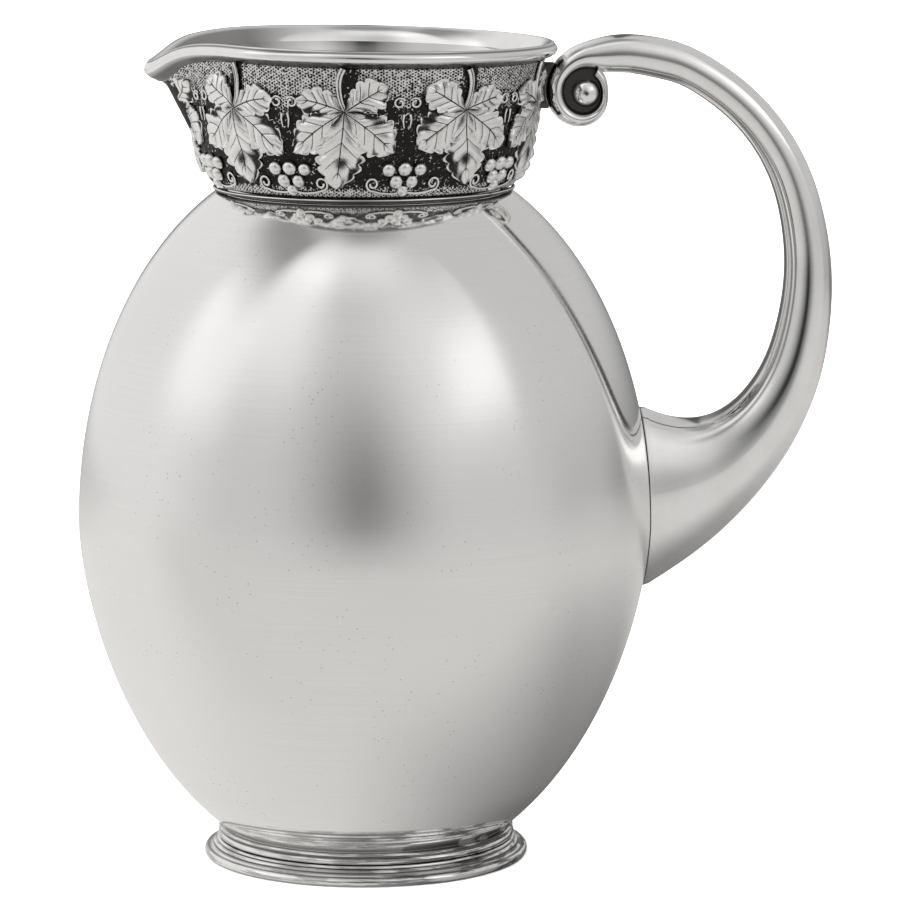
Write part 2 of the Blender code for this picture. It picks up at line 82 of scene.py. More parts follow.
# The neck: a swelling cone, drawn out into the spout.
BAND_TOP_Z = 215.0
BAND_BOTTOM_RADIUS = 39.6
BAND_TOP_RADIUS = 47.9
BAND_SWELL = 1.6
BAND_WALL = 0.9
LINER_WALL = 0.8
WALL_GAP = 0.3
WIRE_SIZE = 1.1
RIM_Z = 219.6
RIM_RADIUS = 51.2
RIM_TILT = 0.018
SPOUT_START_Z = 195.0
SPOUT_FULL_Z = 215.3
SPOUT_SWEEP = 1.7
BEAK_STRETCH = 0.133
BEAK_TURN = 11.0
PINCH_STRETCH = 0.045
PINCH_TURN = 33.0
PINCH_WIDTH = 14.0
LIP_DIP = 6.3
LIP_TURN = 8.5

# The handle: (outer edge x, z), (inner edge x, z), half width, from the body up to the scroll.
HANDLE_STATIONS = (
    ((75.2, 71.5), (75.0, 120.3), 13.0),
    ((90.0, 81.0), (81.5, 117.7), 11.6),
    ((103.2, 93.1), (90.2, 117.1), 9.8),
    ((113.6, 106.6), (98.0, 120.5), 8.5),
    ((120.3, 120.1), (104.4, 127.3), 7.6),
    ((124.2, 133.7), (109.5, 137.5), 7.0),
    ((125.9, 153.9), (112.9, 155.0), 6.4),
    ((123.2, 172.3), (111.5, 171.2), 6.0),
    ((117.5, 188.4), (107.4, 184.3), 5.7),
    ((105.7, 204.5), (98.8, 196.6), 5.4),
    ((90.0, 215.5), (86.0, 206.0), 5.2),
    ((80.5, 218.9), (79.0, 208.1), 5.1),
    ((70.5, 220.3), (70.8, 209.9), 5.1),
)
SCROLL_SHOULDER = ((63.6, 219.6), (64.4, 209.9), 5.0)
SCROLL_CENTRE = (58.8, 204.7)
SCROLL_RADII = ((13.5, 6.3), (11.6, 6.1), (10.8, 5.7), (10.3, 5.5), (9.3, 5.2), (7.5, 4.5), (5.9, 3.9))
SCROLL_STEP = 45.0
SCROLL_END = 335.0
SCROLL_TIP = (8.0, 4.6)
SCROLL_HALF_WIDTH = (4.9, 4.0)
WEB_OFFSET = (-0.9, 0.6)
WEB_RADIUS = 6.6
WEB_HALF_WIDTH = 1.6
EYE_RADIUS = 3.45
EYE_HALF_WIDTH = 4.8
PAD_HALF_WIDTH = 2.6
PAD_TURNS = (46.0, 112.0)

# The ornaments: nine of each around the collar, the first leaf under the spout.
REPEATS = 9
STEP = 360.0 / REPEATS
SPOUT_AZIMUTH = 180.0
ORNAMENT_RADIUS = 44.0
LEAF_HEART_Z = 203.7


# --------------------------------------------------------------------------------------------------
# Shape rules shared by several pieces. All of them take and give numpy arrays.

def body_radius(z, inset=0.0):
    """Radius of the egg at height z, inset from the outside."""
    z = np.asarray(z, float)
    above = z > BELLY_Z
    reach = np.where(above, BODY_RISE, BODY_FALL) - inset
    steep = np.where(above, RISE_FULLNESS[0], FALL_FULLNESS[0])
    blunt = np.where(above, RISE_FULLNESS[1], FALL_FULLNESS[1])
    share = np.minimum(1.0, abs(z - BELLY_Z) / reach)
    return (BELLY_RADIUS - inset) * (1.0 - share ** steep) ** (1.0 / blunt)


def band_radius(z):
    """Radius of the collar's ground at height z."""
    t = np.clip((z - BAND_BOTTOM_Z) / (BAND_TOP_Z - BAND_BOTTOM_Z), 0.0, 1.0)
    cone = BAND_BOTTOM_RADIUS + (BAND_TOP_RADIUS - BAND_BOTTOM_RADIUS) * t
    return cone + BAND_SWELL * np.sin(math.pi * t ** 0.55)


def spout_warp(x, y, z):
    """Draws a round wall out into the beak, tips it up towards the spout and dips the lip."""
    turn = abs(np.degrees(np.arctan2(y, -x)))
    growth = np.clip((z - SPOUT_START_Z) / (SPOUT_FULL_Z - SPOUT_START_Z), 0.0, 1.0) ** SPOUT_SWEEP
    beak = BEAK_STRETCH * np.exp(-((turn / BEAK_TURN) ** 1.5))
    pinch = PINCH_STRETCH * np.exp(-(((turn - PINCH_TURN) / PINCH_WIDTH) ** 2))
    stretch = 1.0 + growth * (beak - pinch)
    dip = LIP_DIP * growth / np.cosh(turn / LIP_TURN)
    return np.stack([x * stretch, y * stretch, z - dip - RIM_TILT * x * growth], axis=-1)


def on_band(azimuth, along, z, height):
    """Lays flat ornament points on the collar: distance along it, z, and height off its ground."""
    angle = math.radians(azimuth) + along / ORNAMENT_RADIUS
    radius = band_radius(z) + height
    return spout_warp(radius * np.cos(angle), radius * np.sin(angle), z)


def spline(points, steps):
    """Catmull-Rom curve through equal-length tuples, with steps spans between neighbours."""
    knots = np.array([points[0], *points, points[-1]], float)
    t = (np.arange(steps) / steps)[:, None]
    spans = []
    for a, b, c, d in zip(knots, knots[1:], knots[2:], knots[3:]):
        spans.append(0.5 * (2 * b + (c - a) * t + (2 * a - 5 * b + 4 * c - d) * t ** 2
                            + (3 * b - a - 3 * c + d) * t ** 3))
    return np.vstack(spans + [knots[-1:]])


def smoothstep(value, low, high):
    """0 at low, 1 at high, with a soft start and end; low may be the greater."""
    t = np.clip((value - low) / (high - low), 0.0, 1.0)
    return t * t * (3.0 - 2.0 * t)


# --------------------------------------------------------------------------------------------------
# Meshes

SPUN_SEGMENTS = 256
# Painted shade inside the mouth towards the spout, and how much lower the rim's underside hangs there.
SPOUT_INSIDE_SHADE = 0.7
LIP_DROOP = 1.3


class Shell:
    """Collects closed grids of points into one mesh, with a value of tarnish and painted shade for each
    point.
    """

    def __init__(self):
        self.points, self.faces, self.tarnish, self.count = [], [], [], 0

    def add(self, points, faces, tarnish=0.0):
        """Adds points (..., 3) in millimetres, faces as index rows, and the points' tarnish and painted
        shade.
        """
        points = np.asarray(points, float)
        self.tarnish.append(np.broadcast_to(tarnish, points.shape[:-1]).ravel())
        points = points.reshape(-1, 3)
        self.points.append(points)
        self.faces += [[i + self.count for i in face] for face in faces]
        self.count += len(points)

    def ring(self, rows, tarnish=0.0):
        """Adds a solid ring: a closed profile in rows, carried round the closed columns."""
        index = np.arange(rows.shape[0] * rows.shape[1]).reshape(rows.shape[:2])
        self.add(rows, quads(index, np.roll(index, -1, axis=0)), tarnish)

    def bar(self, rows, tarnish=0.0):
        """Adds a solid bar: a row of points for each closed section, with both ends filled."""
        index = np.arange(rows.shape[0] * rows.shape[1]).reshape(rows.shape[:2])
        ends = [index[0][::-1].tolist(), index[-1].tolist()]
        self.add(rows, quads(index[:-1], index[1:]) + ends, tarnish)


def quads(first, second):
    """Faces between rows of point numbers, each row closed on itself."""
    corners = [first, np.roll(first, -1, axis=1), np.roll(second, -1, axis=1), second]
    return np.stack(corners, axis=-1).reshape(-1, 4).tolist()


def piece(node, shell, finish, sharp=40.0):
    """Turns a shell into the piece that stands for a CAD node, with its faces turned outwards."""
    points = np.vstack(shell.points) * MM
    points[:, 0] += AXIS_X * MM
    mesh = bpy.data.meshes.new(node)
    mesh.from_pydata(points, [], shell.faces)
    bm = bmesh.new()
    bm.from_mesh(mesh)
    bmesh.ops.recalc_face_normals(bm, faces=bm.faces)
    bm.to_mesh(mesh)
    bm.free()
    # The tarnish attribute also carries painted shade and painted reflections.
    mesh.attributes.new("tarnish", "FLOAT", "POINT")
    tarnish = np.concatenate(shell.tarnish).astype(np.float32)
    mesh.attributes["tarnish"].data.foreach_set("value", tarnish)
    mesh.shade_smooth()
    mesh.set_sharp_from_angle(angle=math.radians(sharp))
    mesh.materials.append(finish)
    made = bpy.data.objects.new(f"{node}_look", mesh)
    bpy.context.scene.collection.objects.link(made)
    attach(made, "root")
    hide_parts(node)


def moulded(parts):
    """Joins mouldings into one profile with its tarnish and painted shade.

    Each part is its points, the tarnish and painted shade of its first points and that of its last
    ones; in between it is bright.
    """
    profile, tarnish = [], []
    for points, first, last in parts:
        profile += points
        tarnish += [*first, *[0.0] * (len(points) - len(first) - len(last)), *last]
    return profile, tarnish


def arc(centre, radii, start, end, count):
    """Points of an ellipse's arc in the (radius, z) plane, in degrees from the outward direction."""
    angle = np.radians(np.linspace(start, end, count))
    return [(centre[0] + radii[0] * math.cos(a), centre[1] + radii[1] * math.sin(a)) for a in angle]


def spun(profile, tarnish=0.0):
    """A closed (radius, z) profile turned about the axis, with one tarnish-and-shade value or one for
    each point.
    """
    profile = np.array(profile, float)
    angle = math.tau * np.arange(SPUN_SEGMENTS) / SPUN_SEGMENTS
    x = profile[:, :1] * np.cos(angle)
    y = profile[:, :1] * np.sin(angle)
    z = np.repeat(profile[:, 1:], SPUN_SEGMENTS, axis=1)
    shell = Shell()
    shell.ring(np.stack([x, y, z], axis=-1), np.reshape(tarnish, (-1, 1)))
    return shell


def neck_turns():
    """Turns from the spout at which the neck's walls are cut, closest together at the beak."""
    half = [0.0]
    for step, until in ((0.5, 30.0), (1.0, 60.0), (2.0, 180.0)):
        while half[-1] < until:
            half.append(half[-1] + step)
    return np.array([-turn for turn in half[-2:0:-1]] + half)


def neck_ring(profile, tarnish, inside, droop=0.0):
    """A closed (radius, z) profile carried round the axis and drawn out into the spout.

    Tarnish and painted shade, and inside, are a value for each point; a point inside the mouth also
    gets painted shade towards the spout. Droop lowers the profile's foot under the beak, which thickens
    the lip.
    """
    profile = np.array(profile, float)
    angle = np.radians(SPOUT_AZIMUTH + neck_turns())
    x = profile[:, :1] * np.cos(angle)
    y = profile[:, :1] * np.sin(angle)
    z = np.repeat(profile[:, 1:], len(angle), axis=1)
    below = (profile[:, 1:].max() - z) / np.ptp(profile[:, 1])
    droop = droop * below * np.exp(-((neck_turns() / BEAK_TURN) ** 2))
    # Painted shade: points inside the mouth darken towards the spout.
    inside_shade = SPOUT_INSIDE_SHADE * smoothstep(abs(neck_turns()), 80.0, 50.0) * np.reshape(inside, (-1, 1))
    tarnish = np.maximum(np.reshape(tarnish, (-1, 1)), inside_shade)
    shell = Shell()
    shell.ring(spout_warp(x, y, z) - droop[..., None] * (0, 0, 1), tarnish)
    return shell


# --------------------------------------------------------------------------------------------------
# Body, foot, neck and rim

def body():
    """The raised egg, with its wall and floor."""
    rows = 150
    lowest = math.asin((BODY_FLOOR_Z - BELLY_Z) / BODY_FALL)
    highest = math.asin((BODY_TOP_Z - BELLY_Z) / BODY_RISE)
    turns = np.linspace(lowest, highest, rows)
    heights = BELLY_Z + np.where(turns > 0, BODY_RISE, BODY_FALL) * np.sin(turns)
    floor = BODY_FLOOR_Z + BODY_WALL
    outer = list(zip(body_radius(heights), heights))
    inner_heights = np.array([floor, *heights[heights > floor]])
    inner = list(zip(body_radius(inner_heights, BODY_WALL), inner_heights))
    centre = 0.01
    return spun([(centre, BODY_FLOOR_Z)] + outer + inner[::-1] + [(centre, floor)])


def foot_band():
    """The foot's upper band: a fillet against the body, a groove and a soft moulding."""
    r, top = FOOT_BAND_RADIUS, FOOT_TOP_Z
    seat = float(body_radius(top)) + 0.1
    inner = [(r - FOOT_WALL, top - 3.3), (r - FOOT_WALL, top - 1.7), (seat - 0.6, top - 0.7),
             (seat, top)]
    fillet = arc((r - 0.45, top - 0.45), (0.6, 0.45), 90, -60, 8)
    groove = arc((r + 0.1, top - 1.05), (0.45, 0.25), 120, 240, 6)
    moulding = arc((r - 0.5, top - 2.15), (0.85, 0.9), 70, -65, 10)
    # Painted shade darkens the groove, the inner wall and the ends of the fillet and the moulding.
    return spun(*moulded([
        (inner, [], [0.5]),
        (fillet, [0.5, 0.1], [0.3, 0.6]),
        (groove, [0.8] * 6, []),
        (moulding, [0.2], [0.3, 0.9, 0.9]),
    ]))


def foot_base_ring():
    """The foot's base ring, flaring in steps to the rounded edge it stands on."""
    r, base = FOOT_BAND_RADIUS, FOOT_BASE_RADIUS
    inner = r - FOOT_WALL
    under = [(inner + 1.4, 0.0), (inner, 1.2), (inner, 5.05)]
    upper = arc((r - 0.1, 4.55), (0.75, 0.5), 90, -50, 8)
    middle = arc((r + 0.5, 3.55), (1.05, 0.55), 80, -60, 8)
    cove = arc((base - 0.6, 3.35), (1.9, 1.0), 180, 255, 8)
    edge = arc((base - 0.9, 1.2), (0.9, 1.2), 80, -90, 14)
    # Painted shade darkens the cove, the underside, the lower ends of the steps and the edge's
    # underside.
    return spun(*moulded([
        (under, [0.5] * 3, []),
        (upper, [0.4], [0.6, 0.9]),
        (middle, [0.3], [0.7, 1.0]),
        (cove, [1.0, 0.9, 0.7, 0.3], [0.5, 0.8]),
        (edge, [0.4], [0.3, 0.8] + [0.6] * 4),
    ]))


def collar_wire():
    """The plain wire that hides the joint between the body and the collar."""
    centre = (float(body_radius(BODY_TOP_Z)) + 0.5, BODY_TOP_Z + WALL_GAP + WIRE_SIZE / 2)
    turns = np.linspace(-170, 170, 32)
    # Painted shade darkens all of the wire but a narrow band facing outwards and a little up, left as a
    # painted highlight line.
    tarnish = np.maximum(smoothstep(turns, 8.0, -6.0), smoothstep(turns, 24.0, 40.0))
    return spun(arc(centre, (0.5, 0.5), turns[0], turns[-1], len(turns)), tarnish)


def neck_liner():
    """The smooth liner seen inside the mouth, standing in the body's neck."""
    drop = BAND_WALL + WALL_GAP + 0.1
    neck = float(body_radius(BODY_TOP_Z, BODY_WALL)) - 0.5
    heights = np.linspace(BAND_BOTTOM_Z, BAND_TOP_Z + 0.4, 40)
    outer = [(neck, BODY_TOP_Z - 4.0), (neck, BAND_BOTTOM_Z - 0.3)]
    outer += list(zip(band_radius(heights[1:]) - drop, heights[1:]))
    inner = [(radius - LINER_WALL, z) for radius, z in outer]
    inside = [0.0] * len(outer) + [1.0] * len(inner)
    return neck_ring(outer + inner[::-1], np.zeros(len(inside)), inside)


def rim_with_spout():
    """The thick polished rim, rolled outwards and drawn into the pouring lip."""
    low = BAND_TOP_Z + 0.1
    inner = BAND_TOP_RADIUS - BAND_WALL - WALL_GAP - LINER_WALL
    funnel = [(inner, low), (inner + 0.6, RIM_Z - 3.2), (inner + 1.3, RIM_Z - 2.1),
              (RIM_RADIUS - 3.0, RIM_Z - 0.9)]
    crest = arc((RIM_RADIUS - 1.5, RIM_Z - 1.1), (1.1, 1.1), 130, 60, 6)
    crease = [(RIM_RADIUS - 0.80, RIM_Z - 0.45), (RIM_RADIUS - 0.66, RIM_Z - 0.62)]
    roll = arc((RIM_RADIUS - 1.3, RIM_Z - 1.9), (1.3, 1.4), 48, -50, 12)
    under = [(RIM_RADIUS - 1.6, RIM_Z - 3.7), (BAND_TOP_RADIUS + 0.3, low + 0.3),
             (BAND_TOP_RADIUS, low)]
    # Painted shade darkens the crease, the ends of the roll and the rim's underside.
    profile, tarnish = moulded([
        (funnel, [], []),
        (crest, [], []),
        (crease, [0.8, 0.8], []),
        (roll, [0.1], [0.4]),
        (under, [0.9] * 3, []),
    ])
    inside = [1.0] * len(funnel) + [0.0] * (len(profile) - len(funnel))
    return neck_ring(profile, tarnish, inside, LIP_DROOP)


# --------------------------------------------------------------------------------------------------
# Handle and scroll

PATH_STEPS = 12
SCROLL_STEPS = 110
PATH_SMOOTHING = 40
# The ring that ends the handle and begins the scroll.
JOINT_ROW = (len(HANDLE_STATIONS) - 1) * PATH_STEPS
SEAT_GAP = 0.15
# Two fine painted dark reflection lines run along each side of the handle, this share of the way
# from its middle to the inner edge.
INNER_REFLECTION_LINES = (0.64, 0.76)
LINE_SPREAD = 0.035
SECTION_SIDES = 160


def section(row):
    """An oval ring about a row of the handle's path: outer x and z, inner x and z, half width."""
    outer, inner, half_width = row[0:2], row[2:4], row[4]
    angle = math.tau * np.arange(SECTION_SIDES) / SECTION_SIDES
    reach = np.cos(angle)
    centre = (outer + inner) / 2
    half = (outer - inner) / 2
    x = centre[0] + half[0] * reach
    y = np.sin(angle) * half_width
    z = centre[1] + half[1] * reach
    return np.stack([x, y, z], axis=-1)


def inward_share(rings):
    """How far each point of a section stands towards the handle's inner edge, -1 to 1."""
    return -np.cos(math.tau * np.arange(rings.shape[1]) / rings.shape[1])


def handle_path():
    """Rows of outer x and z, inner x and z and half width, from the body round to the scroll's tip."""
    wide, narrow = SCROLL_HALF_WIDTH
    wound = [(*np.concatenate(scroll_edges(SCROLL_END * share)), wide + (narrow - wide) * share)
             for share in np.linspace(0.0, 1.0, SCROLL_STEPS)]
    stations = [(*outer, *inner, half_width)
                for outer, inner, half_width in HANDLE_STATIONS + (SCROLL_SHOULDER,)]
    rows = np.vstack([spline(stations + [wound[0]], PATH_STEPS)[:-1], wound])
    for _ in range(PATH_SMOOTHING):
        rows[1:-1] = (rows[:-2] + 2 * rows[1:-1] + rows[2:]) / 4
    return rows


def handle():
    """The handle from its seat on the body up to where the scroll begins."""
    rings = np.array([section(row) for row in handle_path()[:JOINT_ROW + 1]])
    seat = rings[0]
    wall = body_radius(seat[:, 2]) + SEAT_GAP
    seat[:, 0] = np.sqrt(wall * wall - seat[:, 1] ** 2)
    # A ring close to the seat keeps the dark of the soldered joint to a fine line.
    rings = np.insert(rings, 1, seat + 0.3 * (rings[1] - seat), axis=0)
    inward = inward_share(rings)
    # Painted reflections: two dark lines along each side, and painted shade along the inner edge.
    lines = sum(np.exp(-((inward - place) / LINE_SPREAD) ** 2) for place in INNER_REFLECTION_LINES)
    lines = 0.75 * lines + smoothstep(inward, 0.90, 0.97)
    grow = smoothstep(np.arange(len(rings)), PATH_STEPS, 3 * PATH_STEPS)[:, None]
    tarnish = np.minimum(lines * grow, 1.0)
    tarnish[0] = 1.0
    shell = Shell()
    shell.bar(rings, tarnish)
    return shell


def scroll_edges(turn):
    """Outer and inner edge of the scroll's strap at a turn counted from straight above the eye."""
    turns = [SCROLL_STEP * i for i in range(len(SCROLL_RADII))] + [SCROLL_END]
    radii = np.array(SCROLL_RADII + (SCROLL_TIP,))
    angle = math.radians(90.0 + turn)
    direction = np.array([math.cos(angle), math.sin(angle)])
    return [np.array(SCROLL_CENTRE) + direction * np.interp(turn, turns, column) for column in radii.T]


def handle_scroll():
    """The scroll that ends the handle: a tapering strap wound round a web."""
    rings = np.array([section(row) for row in handle_path()[JOINT_ROW:]])
    turned = smoothstep(np.arange(len(rings)), PATH_STEPS, 2 * PATH_STEPS)[:, None]
    # Painted shade darkens the strap's inner side where it winds into the scroll; the tip's end face is
    # dark.
    tarnish = smoothstep(inward_share(rings), 0.35, 0.8)[None, :] * turned
    tarnish[-1] = 1.0
    shell = Shell()
    shell.bar(rings, tarnish)
    # The web is painted dark all over, as shade in the scroll's crevice.
    web_angle = math.tau * np.arange(48) / 48
    x = SCROLL_CENTRE[0] + WEB_OFFSET[0] + WEB_RADIUS * np.cos(web_angle)
    z = SCROLL_CENTRE[1] + WEB_OFFSET[1] + WEB_RADIUS * np.sin(web_angle)
    sides = (-WEB_HALF_WIDTH, WEB_HALF_WIDTH)
    shell.bar(np.array([np.stack([x, np.full_like(x, y), z], axis=-1) for y in sides]), 1.0)
    return shell


# The eye spreads a little wider at its base than the CAD's ball. A roundness of 1 is an even dome.
EYE_SPREAD = 1.12
EYE_ROUNDNESS = 1.05


def scroll_eye():
    """The ball on each side of the scroll, with a small mark at its pole."""
    sunk = 0.3
    height = EYE_HALF_WIDTH - WEB_HALF_WIDTH + sunk
    angle = math.tau * np.arange(48) / 48
    polar = np.radians(np.linspace(0, 89, 24))[:, None]
    radius = EYE_SPREAD * EYE_RADIUS * np.cos(polar) ** EYE_ROUNDNESS
    depth = WEB_HALF_WIDTH - sunk + height * np.sin(polar)
    x = SCROLL_CENTRE[0] + radius * np.cos(angle)
    z = SCROLL_CENTRE[1] + radius * np.sin(angle)
    # Painted shade darkens the ball's edge where it meets the web; a small dark mark sits at the pole.
    dark = np.maximum(smoothstep(polar, 0.14, 0.0), smoothstep(polar, 1.38, 1.50))
    shell = Shell()
    for side in (1, -1):
        shell.bar(np.stack(np.broadcast_arrays(x, side * depth, z), axis=-1), dark)
    return shell


def scroll_pad():
    """The small block that joins the scroll to the collar, shaped to both."""
    turns = np.linspace(*PAD_TURNS, 12)
    scroll_side = np.array([scroll_edges(turn)[0] for turn in turns])
    band_side = np.stack([band_radius(scroll_side[:, 1]) + 0.1, scroll_side[:, 1]], axis=-1)
    outline = np.vstack([scroll_side, band_side[::-1]])
    middle = outline.mean(axis=0)
    rings = []
    # Both cheeks are bevelled: the outline shrinks to a share of itself over the last of the width.
    for side in (-1, 1):
        for inset, share in ((0.0, 0.9), (0.4, 1.0))[::-side]:
            flat = middle + (outline - middle) * share
            y = np.full(len(flat), side * (PAD_HALF_WIDTH - inset))
            rings.append(np.stack([flat[:, 0], y, flat[:, 1]], axis=-1))
    shell = Shell()
    # The whole pad is painted dark, as shade between the collar, the rim's underside and the scroll.
    shell.bar(np.array(rings), 1.0)
    return shell


# --------------------------------------------------------------------------------------------------
# Vine leaves

# Each lobe of a leaf: direction, length and half width, its bend towards the tip in degrees, how far
# along its midrib it is widest, the teeth down each margin, and its level above the ground. The last
# lies on top.
LOBES = (
    (150.0, 12.8, 3.9, 14.0, 0.60, 5, 0.45),
    (36.0, 13.0, 4.3, -4.0, 0.66, 5, 0.50),
    (-150.0, 17.6, 4.7, 8.0, 0.56, 8, 0.65),
    (-34.0, 15.6, 5.3, -6.0, 0.62, 7, 0.60),
    (-93.0, 20.1, 5.8, -3.0, 0.58, 8, 1.00),
)
LOBE_ROWS = 112
LOBE_COLUMNS = 53
TOOTH_DEPTH = 0.30
VEIN_WIDTH = 0.34
SIDE_VEINS = 5.0
# Heights of the relief: the arched middle, the puffs between side veins, the slow waves, the curled
# margin, the dent in the top lobe, and how deep the midrib and the side veins are cut.
CROWN_HEIGHT = 0.55
PUFF_HEIGHT = 0.24
WAVE_HEIGHT = 0.34
CURL_HEIGHT = 0.30
DENT_DEPTH = 0.35
MIDRIB_DEPTH = 0.20
SIDE_VEIN_DEPTH = 0.12
# How far each half of a lobe may be folded down or up along the midrib.
FOLD_RANGE = (-0.75, 0.35)


def lobe_width(s, widest):
    """Half width of a lobe along its midrib, as a share of its greatest."""
    rise = np.sin(0.5 * math.pi * np.clip(s / widest, 0, 1)) ** 1.1
    fall = np.cos(0.5 * math.pi * np.clip((s - widest) / (1 - widest), 0, 1)) ** 0.8
    return np.where(s < widest, 0.10 + 0.90 * rise, fall)


def lobe(shell, azimuth, mirror, shape, dented, rng):
    """One lobe: a veined, folded sheet whose toothed margins drop to the ground, dented or not."""
    direction, length, half_width, bend, widest, teeth, level = shape
    s = np.linspace(0.0, 1.0, LOBE_ROWS)[:, None]
    t = np.linspace(-1.0, 1.0, LOBE_COLUMNS)[None, :]
    angle = np.radians(direction + bend * s)
    beat = teeth * s ** 0.9 + 0.25 * np.sign(t) + rng.uniform(0, 0.5)
    tooth = np.abs(np.sin(math.pi * beat)) ** 0.6
    margin = 1.0 + TOOTH_DEPTH * (tooth - 0.65) * np.abs(t) ** 4 * smoothstep(s, 0.15, 0.35)
    across = t * half_width * lobe_width(s, widest) * margin
    u = length * s * np.cos(angle) - across * np.sin(angle)
    v = length * s * np.sin(angle) + across * np.cos(angle)
    # The relief.
    fold = np.where(t < 0, rng.uniform(*FOLD_RANGE), rng.uniform(*FOLD_RANGE)) * np.abs(t) ** 1.3
    phase = SIDE_VEINS * s - 1.3 * np.abs(t) + rng.uniform(0, 0.3)
    to_vein = np.abs((phase + 0.5) % 1.0 - 0.5) * length / SIDE_VEINS
    inside = smoothstep(np.abs(t), 0.88, 0.6) * smoothstep(s, 0.12, 0.25) * smoothstep(s, 0.95, 0.8)
    side_vein = np.exp(-((to_vein / (0.6 * VEIN_WIDTH)) ** 2)) * inside
    midrib = np.exp(-((across / (0.55 * VEIN_WIDTH)) ** 2)) * smoothstep(s, 0.94, 0.75)
    puff = np.cos(math.tau * phase) * np.abs(t) * smoothstep(s, 0.1, 0.4)
    wave = np.sin(math.pi * (2.6 * s + 0.7 * t) + rng.uniform(0, math.tau)) * smoothstep(s, 0.0, 0.4)
    crown = 1 - np.abs(t) ** 2.2
    curl = smoothstep(np.abs(t), 0.80, 1.0) * smoothstep(s, 0.2, 0.5)
    dent = dented * np.exp(-((s - 0.66) / 0.11) ** 2 - ((t - 0.08) / 0.34) ** 2)
    rise = CROWN_HEIGHT * crown + fold - PUFF_HEIGHT * puff + WAVE_HEIGHT * wave + CURL_HEIGHT * curl
    cut = MIDRIB_DEPTH * midrib + SIDE_VEIN_DEPTH * side_vein + DENT_DEPTH * dent
    height = level + rise - cut
    # Oxide lies in the veins and the dent; painted shade lies in the hollows and about the heart.
    heart_shade = smoothstep(s, 0.36, 0.08) * (0.30 + 0.6 * np.abs(t))
    hollow_shade = 0.8 * smoothstep(height - level, 0.25, -0.35) * smoothstep(np.abs(t), 0.98, 0.86)
    tarnish = np.maximum.reduce([0.95 * midrib, 0.8 * side_vein, 0.8 * dent, heart_shade, hollow_shade])
    # Both margins get an edge that goes down past the ground, painted dark as shade.
    edge = np.ones((LOBE_ROWS, 1))
    u = np.hstack([u[:, :1], u, u[:, -1:]])
    v = np.hstack([v[:, :1], v, v[:, -1:]])
    height = np.hstack([edge * -0.1, height, edge * -0.1])
    tarnish = np.hstack([edge, tarnish, edge])
    shell.bar(on_band(azimuth, mirror * u, LEAF_HEART_Z + v, height), tarnish)


def stem(shell, azimuth, mirror):
    """The leaf's stem, a round wire from the heart up under the rim."""
    path = spline([(0.3, 0.0), (-0.9, 3.2), (-1.3, 6.8), (-0.9, 9.4), (-0.1, 11.2)], 5)
    radii = np.linspace(0.6, 0.85, len(path))
    tube(shell, azimuth, [(mirror * u, LEAF_HEART_Z + v) for u, v in path], radii, 0.35, groove=0.8)


def tube(shell, azimuth, path, radii, lift, groove=0.0, sides=16):
    """Sweeps a round wire along (along, z) points on the collar, its middle lifted off the ground.

    A groove along the top makes it look like two strands.
    """
    path = np.array(path, float)
    run = np.gradient(path, axis=0)
    run /= np.linalg.norm(run, axis=1)[:, None]
    angle = math.tau * np.arange(sides) / sides
    radii = np.asarray(radii, float)[:, None]
    side = radii * np.cos(angle)
    crease = groove * np.exp(-((angle - math.pi / 2) / 0.3) ** 2)
    height = lift + radii * (np.sin(angle) - 0.3 * crease)
    rings = on_band(azimuth, path[:, :1] - run[:, 1:] * side, path[:, 1:] + run[:, :1] * side, height)
    # Painted shade darkens the underside against the ground; the groove along the top is dark too.
    shell.bar(rings, np.maximum(smoothstep(np.sin(angle), 0.3, -0.3), crease))


def leaf(index):
    """A vine leaf of five lobes on its stem. Neighbours are mirrored and vary a little."""
    azimuth = SPOUT_AZIMUTH + STEP * index
    mirror = 1 if index % 2 == 0 else -1
    rng = np.random.default_rng(40 + index)
    shell = Shell()
    stem(shell, azimuth, mirror)
    for number, (direction, length, *rest) in enumerate(LOBES, start=1):
        shape = (direction + rng.uniform(-3, 3), length * rng.uniform(0.96, 1.03), *rest)
        lobe(shell, azimuth, mirror, shape, number == len(LOBES), rng)
    return shell


# --------------------------------------------------------------------------------------------------
# Grapes and tendrils

# Each grape: distance along the collar from the bunch's middle, height and radius.
GRAPES = (
    (-4.3, 188.7, 1.85), (0.0, 188.9, 1.95), (4.2, 188.7, 1.75),
    (-2.2, 185.5, 1.85), (2.1, 185.5, 1.75), (-0.2, 183.0, 1.6),
)
CURL_CENTRE = (8.4, 184.9)
CURL_RADIUS = 1.9
SCROLLET_CENTRE = (2.0, 206.1)
SCROLLET_RADIUS = 1.45


def grape(shell, azimuth, along, z, radius):
    """One grape: most of a ball, sunk in the ground."""
    angle = math.tau * np.arange(24) / 24
    rings, tarnish = [], []
    for polar in np.radians(np.linspace(2, 115, 14)):
        reach = radius * math.sin(polar)
        rings.append(on_band(azimuth, along + reach * np.cos(angle), z + reach * np.sin(angle),
                             0.25 + radius * math.cos(polar)))
        # Painted shade darkens the low side of each grape, where it sinks into the ground.
        tarnish.append([smoothstep(math.degrees(polar), 72.0, 100.0)] * len(angle))
    shell.bar(np.array(rings), np.array(tarnish))


def spiral(centre, radius, start, sweep, points, tightness=0.68):
    """Path points that wind in from the outside of a curl to its middle."""
    t = np.linspace(0, 1, points)
    angle = np.radians(start + sweep * t)
    reach = radius * (1.0 - tightness * t)
    return np.stack([centre[0] + reach * np.cos(angle), centre[1] + reach * np.sin(angle)], axis=-1)


